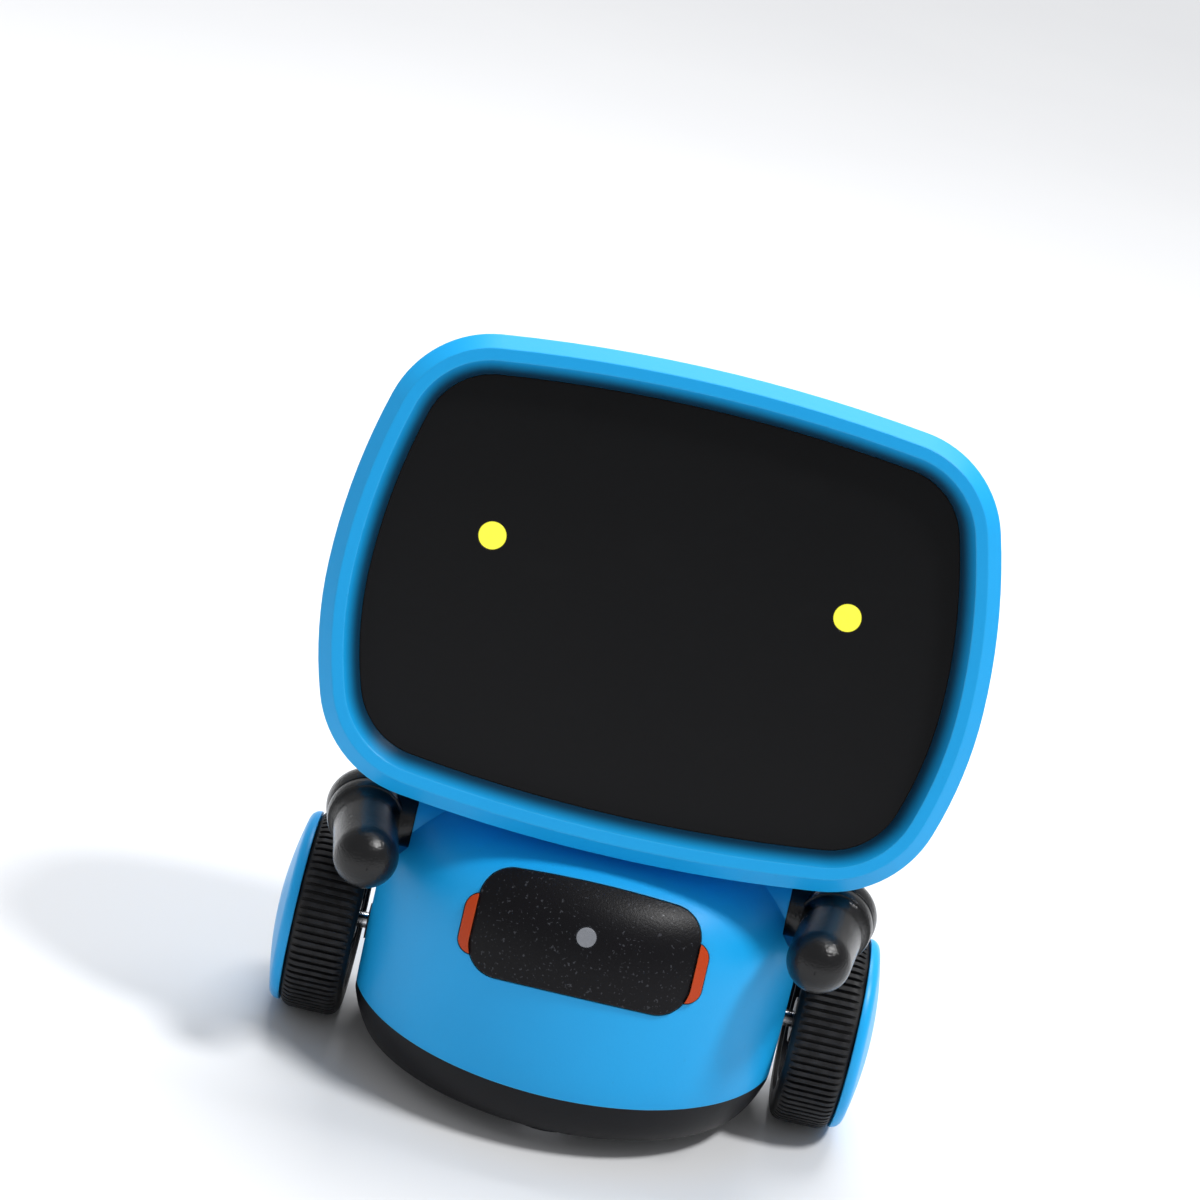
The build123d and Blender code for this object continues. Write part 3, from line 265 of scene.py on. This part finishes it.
def moulded(name, colour, worn, grain, depth, gloss, edge=0.0003, specular=0.5, mottle=0.08):
    """Moulded plastic: slight clouding, mould grain, polished and paler edges, a few scuffs."""
    finish = Finish(name)
    clouds = finish.noise(0.02, 4)
    texture = finish.noise(grain, 3, roughness=0.6)
    smears = finish.spread(finish.noise(0.012, 3, along=(1, 1, 0.25)), 0.45, 0.75)
    eased, near_edge = finish.rounded(edge)
    shadowed = tuple(part * (1 - mottle) for part in colour)
    body_colour = finish.mix(clouds, (*shadowed, 1), (*colour, 1))
    body_colour = finish.mix(near_edge * 0.4, body_colour, (*worn, 1))
    rough = gloss + clouds * 0.06 + smears * 0.05 - near_edge * 0.08 + texture * 0.04
    normal = finish.bump(texture, depth, eased)
    return finish.shade(body_colour, rough, normal, Specular_IOR_Level=specular)


trim = moulded(
    "trim_black", colour=(0.006, 0.006, 0.0075), worn=(0.035, 0.035, 0.04),
    grain=0.0005, depth=0.00002, gloss=0.36, specular=0.2,
)
dress(trim, "base_pan", "caster_cup_front", "caster_cup_back", "battery_tray")

# Power switch slider: the knob of the switch under the floor, black ABS, which slides in a slot of
# the base pan.  It is smoother than the pan round it, and its edges are rubbed grey.
slider_black = moulded(
    "slider_black", colour=(0.012, 0.012, 0.013), worn=(0.06, 0.06, 0.06),
    grain=0.0003, depth=0.00001, gloss=0.35, specular=0.25,
)
dress(slider_black, "power_switch_slider")


# Caster balls and axles: ground steel, polished, with fine hairlines and a trace of handling.
# The balls roll loose in their cups; the rims and the wheel gears are pressed on the axles.
def steel(name, colour, worn, gloss, streak, along):
    """Bare metal with fine hairlines and dull clouded patches."""
    finish = Finish(name)
    lines = finish.noise(streak, 3, along=along)
    dull = finish.spread(finish.noise(0.004, 4), 0.4, 0.8)
    eased, near_edge = finish.rounded(0.0002)
    bright = (0.8, 0.8, 0.8, 1)
    metal = finish.mix(dull, (*colour, 1), (*worn, 1))
    metal = finish.mix(near_edge * 0.3, metal, bright)
    rough = gloss + lines * 0.08 + dull * 0.14
    normal = finish.bump(lines, 0.000004, eased)
    return finish.shade(metal, rough, normal, Metallic=1.0)


ball_steel = steel(
    "ball_steel", colour=(0.72, 0.72, 0.74), worn=(0.6, 0.6, 0.62),
    gloss=0.08, streak=0.0004, along=(1, 1, 1),
)
dress(ball_steel, "caster_ball_front", "caster_ball_back", *both("axle"))

# ------------------------------------------------------------------------------ drive
# Gearbox cups and plates: grey nylon with glass filling, dull and slightly fibrous, one pair at
# each side of the torso round the gears.
gearbox_grey = moulded(
    "gearbox_grey", colour=(0.15, 0.15, 0.16), worn=(0.25, 0.25, 0.26),
    grain=0.0007, depth=0.00002, gloss=0.5,
)
dress(gearbox_grey, *both("gearbox_cup", "gearbox_plate"))

# Axle gears and double idlers: white acetal, moulded, a little waxy, with light passing just under
# the surface and a film of grease that yellows it in patches.
gear_clean = (0.8, 0.8, 0.77, 1)
gear_greased = (0.72, 0.71, 0.64, 1)
gear_edge_pale = (0.88, 0.88, 0.86, 1)
gear_finish = Finish("gear_white")
grease = gear_finish.spread(gear_finish.noise(0.003, 3), 0.5, 0.62)
gear_edges, gear_near = gear_finish.rounded(0.00015)
gear_colour = gear_finish.mix(grease, gear_clean, gear_greased)
gear_colour = gear_finish.mix(gear_near * 0.3, gear_colour, gear_edge_pale)
gear_rough = 0.42 - grease * 0.22
gear_normal = gear_finish.bump(gear_finish.noise(0.0005, 2), 0.000008, gear_edges)
gear_white = gear_finish.shade(gear_colour, gear_rough, gear_normal, Subsurface_Weight=0.08)
dress(gear_white, *both("wheel_gear", "idler_gear"))

# Motor pinions, each made as one turning piece with its shaft: brass, turned and hobbed, gone
# slightly brown.
pinion_brass = steel(
    "pinion_brass", colour=(0.72, 0.5, 0.2), worn=(0.5, 0.32, 0.12),
    gloss=0.2, streak=0.0003, along=(6, 1, 1),
)
dress(pinion_brass, *both("motor_pinion"))

# Motor cans, power switch and key switches: drawn and plated steel, with hairlines that run
# along the motors.
plated = steel(
    "plated_steel", colour=(0.56, 0.56, 0.58), worn=(0.45, 0.45, 0.47),
    gloss=0.26, streak=0.0004, along=(0.2, 1, 1),
)
dress(plated, "power_switch_body", "chest_switches", *both("motor"))

# ------------------------------------------------------------------------------ wheels
# Wheel rims: black ABS like the base, an outer ring, a web and a hub in one moulding, pressed on
# the axle.  The wheel cap snaps into the rim by a ring.
dress(trim, *both("wheel_rim"))

# Tyres: soft black rubber moulded with cross ribs all round, on the rims.  Dust stays in the
# grooves, and the crown is rubbed grey where it rolls.
rubber_black = (0.009, 0.009, 0.010, 1)
rubber_rubbed = (0.035, 0.035, 0.038, 1)
rubber_dusty = (0.09, 0.085, 0.08, 1)
groove_depth = 0.0007
crown_depth = 0.0001
tyre_low, tyre_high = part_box("tyre_right")
tyre_radius = (tyre_high[2] - tyre_low[2]) / 2
tyre_middle = (0, (tyre_high[1] + tyre_low[1]) / 2, (tyre_high[2] + tyre_low[2]) / 2)
tyre_finish = Finish("tyre_rubber")
from_axle = tyre_finish.vector("SUBTRACT", tyre_finish.place, tyre_middle)
in_wheel = tyre_finish.vector("MULTIPLY", from_axle, (0, 1, 1))
out_from_axle = tyre_finish.vector("LENGTH", in_wheel, None, out=1)
crown = tyre_finish.spread(out_from_axle, tyre_radius - groove_depth, tyre_radius - crown_depth)
rubbed = crown * tyre_finish.spread(tyre_finish.noise(0.002, 3), 0.3, 0.7)
dust = (1 - crown) * tyre_finish.spread(tyre_finish.noise(0.006, 4), 0.45, 0.7)
tyre_edges = tyre_finish.rounded(0.00015)[0]
rubber = tyre_finish.mix(rubbed * 0.5, rubber_black, rubber_rubbed)
rubber = tyre_finish.mix(dust * 0.25, rubber, rubber_dusty)
tyre_rough = 0.5 + dust * 0.2 + rubbed * 0.1
tyre_normal = tyre_finish.bump(tyre_finish.noise(0.0003, 2), 0.00001, tyre_edges)
tyre_rubber = tyre_finish.shade(rubber, tyre_rough, tyre_normal, Specular_IOR_Level=0.22)
dress(tyre_rubber, *both("tyre"))

# ------------------------------------------------------------------------------ blue shells
# Torso halves, head halves, wheel caps and battery door: bright blue ABS, satin from a finely
# eroded mould, with a painted highlight that makes every edge a little lighter where the light
# catches the radius.
blue_thick = (0.006, 0.34, 0.75, 1)
blue_thin = (0.009, 0.395, 0.83, 1)
blue_speck = (0.005, 0.24, 0.55, 1)
blue_painted_shade = (0.001, 0.018, 0.042, 1)
blue_painted_edge_highlight = (0.09, 0.56, 0.95, 1)
face_lean = radians(15)
face_inward = (0, cos(face_lean), -sin(face_lean))


def blue_shell(name, grain, depth, gloss, edge, scoop=None):
    """Blue ABS with flow clouding, a fine even grain and a painted highlight along the edges.

    Walls that face inwards to the middle of a scoop get painted shade: their colour is darkened,
    as they see less light.
    """
    finish = Finish(name)
    flow = finish.noise(0.035, 3, along=(1, 1, 0.6))
    texture = finish.noise(grain, 3, roughness=0.65)
    specks = finish.spread(finish.noise(0.0011, 2), 0.7, 0.78)
    rubs = finish.spread(finish.noise(0.01, 4, along=(0.3, 1, 1)), 0.5, 0.8)
    eased, near_edge = finish.rounded(edge)
    blue = finish.mix(flow, blue_thick, blue_thin)
    blue = finish.mix(specks * 0.15, blue, blue_speck)
    # Painted shade: the inward-facing walls behind the face plane go dark blue.
    if scoop:
        outward = finish.vector("SUBTRACT", finish.place, scoop)
        facing = finish.node("ShaderNodeTexCoord", {}, {}, "Normal")
        painted_shade_inward = finish.spread(0 - finish.vector("DOT_PRODUCT", outward, facing, 1), 0.004, 0.03)
        behind = finish.vector("DOT_PRODUCT", outward, face_inward, 1)
        painted_shade_depth = finish.spread(behind, -0.0008, 0.0036)
        blue = finish.mix(painted_shade_inward * painted_shade_depth * 0.97, blue, blue_painted_shade)
    # Painted highlight: every edge is mixed towards a paler blue.
    blue = finish.mix(near_edge * 0.5, blue, blue_painted_edge_highlight)
    rough = gloss + flow * 0.05 + rubs * 0.07 + texture * 0.05 - near_edge * 0.06
    return finish.shade(blue, rough, finish.bump(texture, depth, eased), Specular_IOR_Level=0.3)


head_mould = {"grain": 0.0006, "depth": 0.000010, "gloss": 0.30, "edge": 0.0004}
head_blue = blue_shell("head_blue", **head_mould)
body_blue = blue_shell("body_blue", grain=0.0007, depth=0.000022, gloss=0.36, edge=0.0003)
face_blue = blue_shell("face_blue", **head_mould, scoop=face_spot)
dress(face_blue, "head_front_shell")
dress(head_blue, "head_back_shell", *both("hub_cap"))
dress(body_blue, "torso_front_shell", "torso_back_shell", "battery_door")

# ------------------------------------------------------------------------------ power
# Battery pack: cells in blue shrink film, glossy, with fine wrinkles along the pack.  It sits in
# the tray on the base pan, behind the battery door.
film_dark = (0.04, 0.10, 0.30, 1)
film_blue = (0.06, 0.15, 0.40, 1)
film_worn = (0.2, 0.3, 0.5, 1)
wrap_finish = Finish("pack_wrap")
wrinkles = wrap_finish.noise(0.003, 4, along=(0.25, 1, 1))
wrap_edges, wrap_near = wrap_finish.rounded(0.0005)
wrap_colour = wrap_finish.mix(wrinkles, film_dark, film_blue)
wrap_colour = wrap_finish.mix(wrap_near * 0.3, wrap_colour, film_worn)
wrap_normal = wrap_finish.bump(wrinkles, 0.00012, wrap_edges)
dress(wrap_finish.shade(wrap_colour, wrinkles * 0.12 + 0.14, wrap_normal), "battery_pack")

# Circuit boards: glass laminate with copper tracks under green solder mask and bare gold pads,
# with the laminate bare at the cut edges.  The main board stands on posts of the base pan; the
# others are behind the chest pod and the window.
mask_green = (0.012, 0.12, 0.05, 1)
mask_over_copper = (0.025, 0.22, 0.09, 1)
mask_weave = (0.01, 0.09, 0.04, 1)
laminate = (0.35, 0.3, 0.16, 1)
pad_gold = (0.75, 0.55, 0.2, 1)
pads_per_metre = 420.0
tracks_per_metre = 90.0
board_finish = Finish("board_green")
pad_cells = board_finish.node(
    "ShaderNodeTexVoronoi",
    {"feature": "F1", "distance": "CHEBYCHEV"},
    {"Vector": board_finish.place, "Scale": pads_per_metre},
)
pad = pad_cells < 0.12
tracks = board_finish.node(
    "ShaderNodeTexBrick",
    {"offset": 0.5},
    {"Vector": board_finish.place, "Scale": tracks_per_metre, "Mortar Size": 0.03},
    "Fac",
)
glass_weave = board_finish.noise(0.0008, 2)
board_edges, board_near = board_finish.rounded(0.0001)
board_colour = board_finish.mix(tracks, mask_green, mask_over_copper)
board_colour = board_finish.mix(glass_weave * 0.3, board_colour, mask_weave)
board_colour = board_finish.mix(board_near * 0.5, board_colour, laminate)
board_colour = board_finish.mix(pad, board_colour, pad_gold)
board_rough = 0.28 + glass_weave * 0.1
board_normal = board_finish.bump(tracks, 0.00002, board_edges)
board_green = board_finish.shade(board_colour, board_rough, board_normal, Specular_IOR_Level=0.5)
dress(board_green, "main_board", "chest_board", "face_board")

# ------------------------------------------------------------------------------ chest
# Chest pod: black ABS from a coarsely sparked mould whose grain glints in points, with more
# glints painted in as pale points and a painted highlight as a thin paler line along the rim.
# It is a curved plate let into the front shell.
pod_dark = (0.0038, 0.0036, 0.0048, 1)
pod_painted_glint = (0.10, 0.105, 0.12, 1)
pod_painted_edge_highlight = (0.10, 0.11, 0.13, 1)
pod_finish = Finish("pod_black")
pod_grain = pod_finish.noise(0.00042, 2, roughness=0.7)
pod_glints = pod_finish.spread(pod_finish.noise(0.00055, 2), 0.62, 0.72)
pod_edges, pod_near = pod_finish.rounded(0.0003)
# Painted glints: pale points mixed into the black; the same points are also made glossier.
pod_colour = pod_finish.mix(pod_glints * 0.4, pod_dark, pod_painted_glint)
# Painted highlight: the rim is mixed towards a paler grey.
pod_colour = pod_finish.mix(pod_near * 0.6, pod_colour, pod_painted_edge_highlight)
pod_rough = 0.32 + pod_grain * 0.12 - pod_glints * 0.12
pod_normal = pod_finish.bump(pod_grain, 0.00004, pod_edges)
dress(pod_finish.shade(pod_colour, pod_rough, pod_normal, Specular_IOR_Level=0.15), "chest_panel")

# Chest light: smoked grey light pipe, glossy, with faint flow lines and a darker rim.  It runs
# from the lamp on the chest board to the front of the pod.
pipe_dark = (0.17, 0.18, 0.20, 1)
pipe_pale = (0.24, 0.25, 0.275, 1)
pipe_rim = (0.1, 0.1, 0.11, 1)
pipe_finish = Finish("status_grey")
pipe_flow = pipe_finish.noise(0.0012, 3)
pipe_edges, pipe_near = pipe_finish.rounded(0.0002)
pipe_colour = pipe_finish.mix(pipe_flow, pipe_dark, pipe_pale)
pipe_colour = pipe_finish.mix(pipe_near * 0.5, pipe_colour, pipe_rim)
pipe_normal = pipe_finish.bump(pipe_flow, 0.00001, pipe_edges)
dress(pipe_finish.shade(pipe_colour, pipe_flow * 0.1 + 0.2, pipe_normal), "chest_light")

# Side keys: orange ABS, satin, rubbed paler at the edges that a finger presses.  They are held
# behind the pod's edge, each with a stem over its switch.
key_orange = moulded(
    "key_orange", colour=(0.52, 0.05, 0.004), worn=(0.70, 0.14, 0.03),
    grain=0.0004, depth=0.000012, gloss=0.34, specular=0.25, mottle=0.15,
)
dress(key_orange, *both("side_key"))

# ------------------------------------------------------------------------------ arms
# Arm shells, domes and hubs: black ABS with a fine leathery grain that breaks the highlight into
# points, and rubbed a shade greyer at the edges.  The dome plugs into the forearm, and the hub
# goes through the torso wall with a split pin that snaps.
arm_dark = (0.004, 0.004, 0.0045, 1)
arm_handled = (0.008, 0.008, 0.009, 1)
arm_rubbed = (0.05, 0.05, 0.055, 1)
arm_finish = Finish("arm_black")
arm_grain = arm_finish.noise(0.0005, 2, roughness=0.75)
arm_lumps = arm_finish.noise(0.0016, 2)
arm_rubs = arm_finish.spread(arm_finish.noise(0.006, 3), 0.45, 0.75)
arm_edges, arm_near = arm_finish.rounded(0.00025)
arm_colour = arm_finish.mix(arm_rubs * 0.5, arm_dark, arm_handled)
arm_colour = arm_finish.mix(arm_near * 0.5, arm_colour, arm_rubbed)
arm_rough = 0.17 + arm_grain * 0.08 + arm_rubs * 0.06
arm_normal = arm_finish.bump(arm_lumps, 0.00003, arm_edges)
arm_normal = arm_finish.bump(arm_grain, 0.00009, arm_normal)
arm_black = arm_finish.shade(arm_colour, arm_rough, arm_normal, Specular_IOR_Level=0.4)
dress(arm_black, *both("arm_shell", "arm_dome", "arm_hub"))

# ------------------------------------------------------------------------------ neck
# Neck tube and retainer: black ABS like the base.  The hollow tube carries the head and the split
# retainer springs into its groove; the washer between the torso's collar and the head's floor is
# white acetal.
dress(trim, "neck_tube", "neck_retainer")
washer_white = moulded(
    "washer_white", colour=(0.72, 0.72, 0.69), worn=(0.82, 0.82, 0.8),
    grain=0.0006, depth=0.00001, gloss=0.38,
)
dress(washer_white, "neck_washer")

# ------------------------------------------------------------------------------ head
# Face window: flat smoked near-black sheet with a hard satin coat, on a ledge inside the frame.
# Its cut edge shows as a fine brownish line all round, and a painted reflection makes it paler
# towards its foot.
window_dark = (0.0036, 0.0037, 0.0042, 1)
window_hazed = (0.0048, 0.0049, 0.0054, 1)
window_painted_reflection_foot = (0.0125, 0.0125, 0.0135, 1)
window_cut = (0.045, 0.034, 0.03, 1)
window_low, window_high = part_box("face_screen")
window_height = window_high[2] - window_low[2]
window_finish = Finish("lens_black")
haze = window_finish.noise(0.03, 3)
smudges = window_finish.spread(window_finish.noise(0.009, 4, along=(1, 0.6, 1.4)), 0.52, 0.75)
window_edges, window_near = window_finish.rounded(0.0004)
window_place = window_finish.node(
    "ShaderNodeSeparateXYZ", {}, {"Vector": window_finish.place}, "Z"
)
# Painted reflection: the window goes paler towards its foot.
painted_reflection_lower = 1 - (window_place - window_low[2]) / window_height
window_colour = window_finish.mix(haze, window_dark, window_hazed)
window_colour = window_finish.mix(painted_reflection_lower * 0.6, window_colour, window_painted_reflection_foot)
window_colour = window_finish.mix(window_near * 0.7, window_colour, window_cut)
window_rough = 0.30 + smudges * 0.08 + haze * 0.05
window_normal = window_finish.bump(window_finish.noise(0.0004, 2), 0.000002, window_edges)
window_black = window_finish.shade(
    window_colour, window_rough, window_normal, Specular_IOR_Level=0.13
)
dress(window_black, "face_screen")

# Eye lights: lit yellow diffusers, flanged discs pushed into holes of the window from behind,
# even in colour with a very faint mottle.
eye_base_dark = (0.30, 0.28, 0.02, 1)
eye_base_pale = (0.34, 0.32, 0.025, 1)
eye_lit = (1.0, 0.96, 0.052, 1)
eye_lit_bright = (1.0, 1.0, 0.066, 1)
eye_rim = (0.95, 0.85, 0.03, 1)
eye_finish = Finish("eye_yellow")
glow = eye_finish.noise(0.0012, 2)
eye_edges, eye_near = eye_finish.rounded(0.0002)
eye_base = eye_finish.mix(glow, eye_base_dark, eye_base_pale)
eye_light = eye_finish.mix(glow, eye_lit, eye_lit_bright)
eye_light = eye_finish.mix(eye_near * 0.5, eye_light, eye_rim)
eye_normal = eye_finish.bump(glow, 0.000005, eye_edges)
eye_yellow = eye_finish.shade(
    eye_base, glow * 0.1 + 0.35, eye_normal, Emission_Color=eye_light, Emission_Strength=0.8
)
dress(eye_yellow, *both("eye_light"))

# Lamps behind the eyes: moulded packages of pale resin, glossy, one at the back of each eye on
# the face board.
lamp_white = moulded(
    "lamp_white", colour=(0.85, 0.82, 0.68), worn=(0.95, 0.92, 0.8),
    grain=0.0006, depth=0.000005, gloss=0.22,
)
dress(lamp_white, "eye_leds")

# Speaker: pressed black basket and a paper cone with a felted surface, its rim against the inside
# of the head's back wall, behind the grille.
speaker_black = moulded(
    "speaker_black", colour=(0.022, 0.022, 0.022), worn=(0.07, 0.07, 0.07),
    grain=0.0008, depth=0.00005, gloss=0.62,
)
dress(speaker_black, "speaker")

# ------------------------------------------------------------------------------ fasteners
# Case and head screws: zinc-plated steel, dulled, brighter at the edges.  Four hold the base, two
# the torso's back, one the battery door and four the head's back shell.
screw_steel = steel(
    "screw_steel", colour=(0.5, 0.5, 0.52), worn=(0.36, 0.36, 0.37),
    gloss=0.3, streak=0.0003, along=(1, 1, 1),
)
dress(screw_steel, "case_screws", "head_screws")
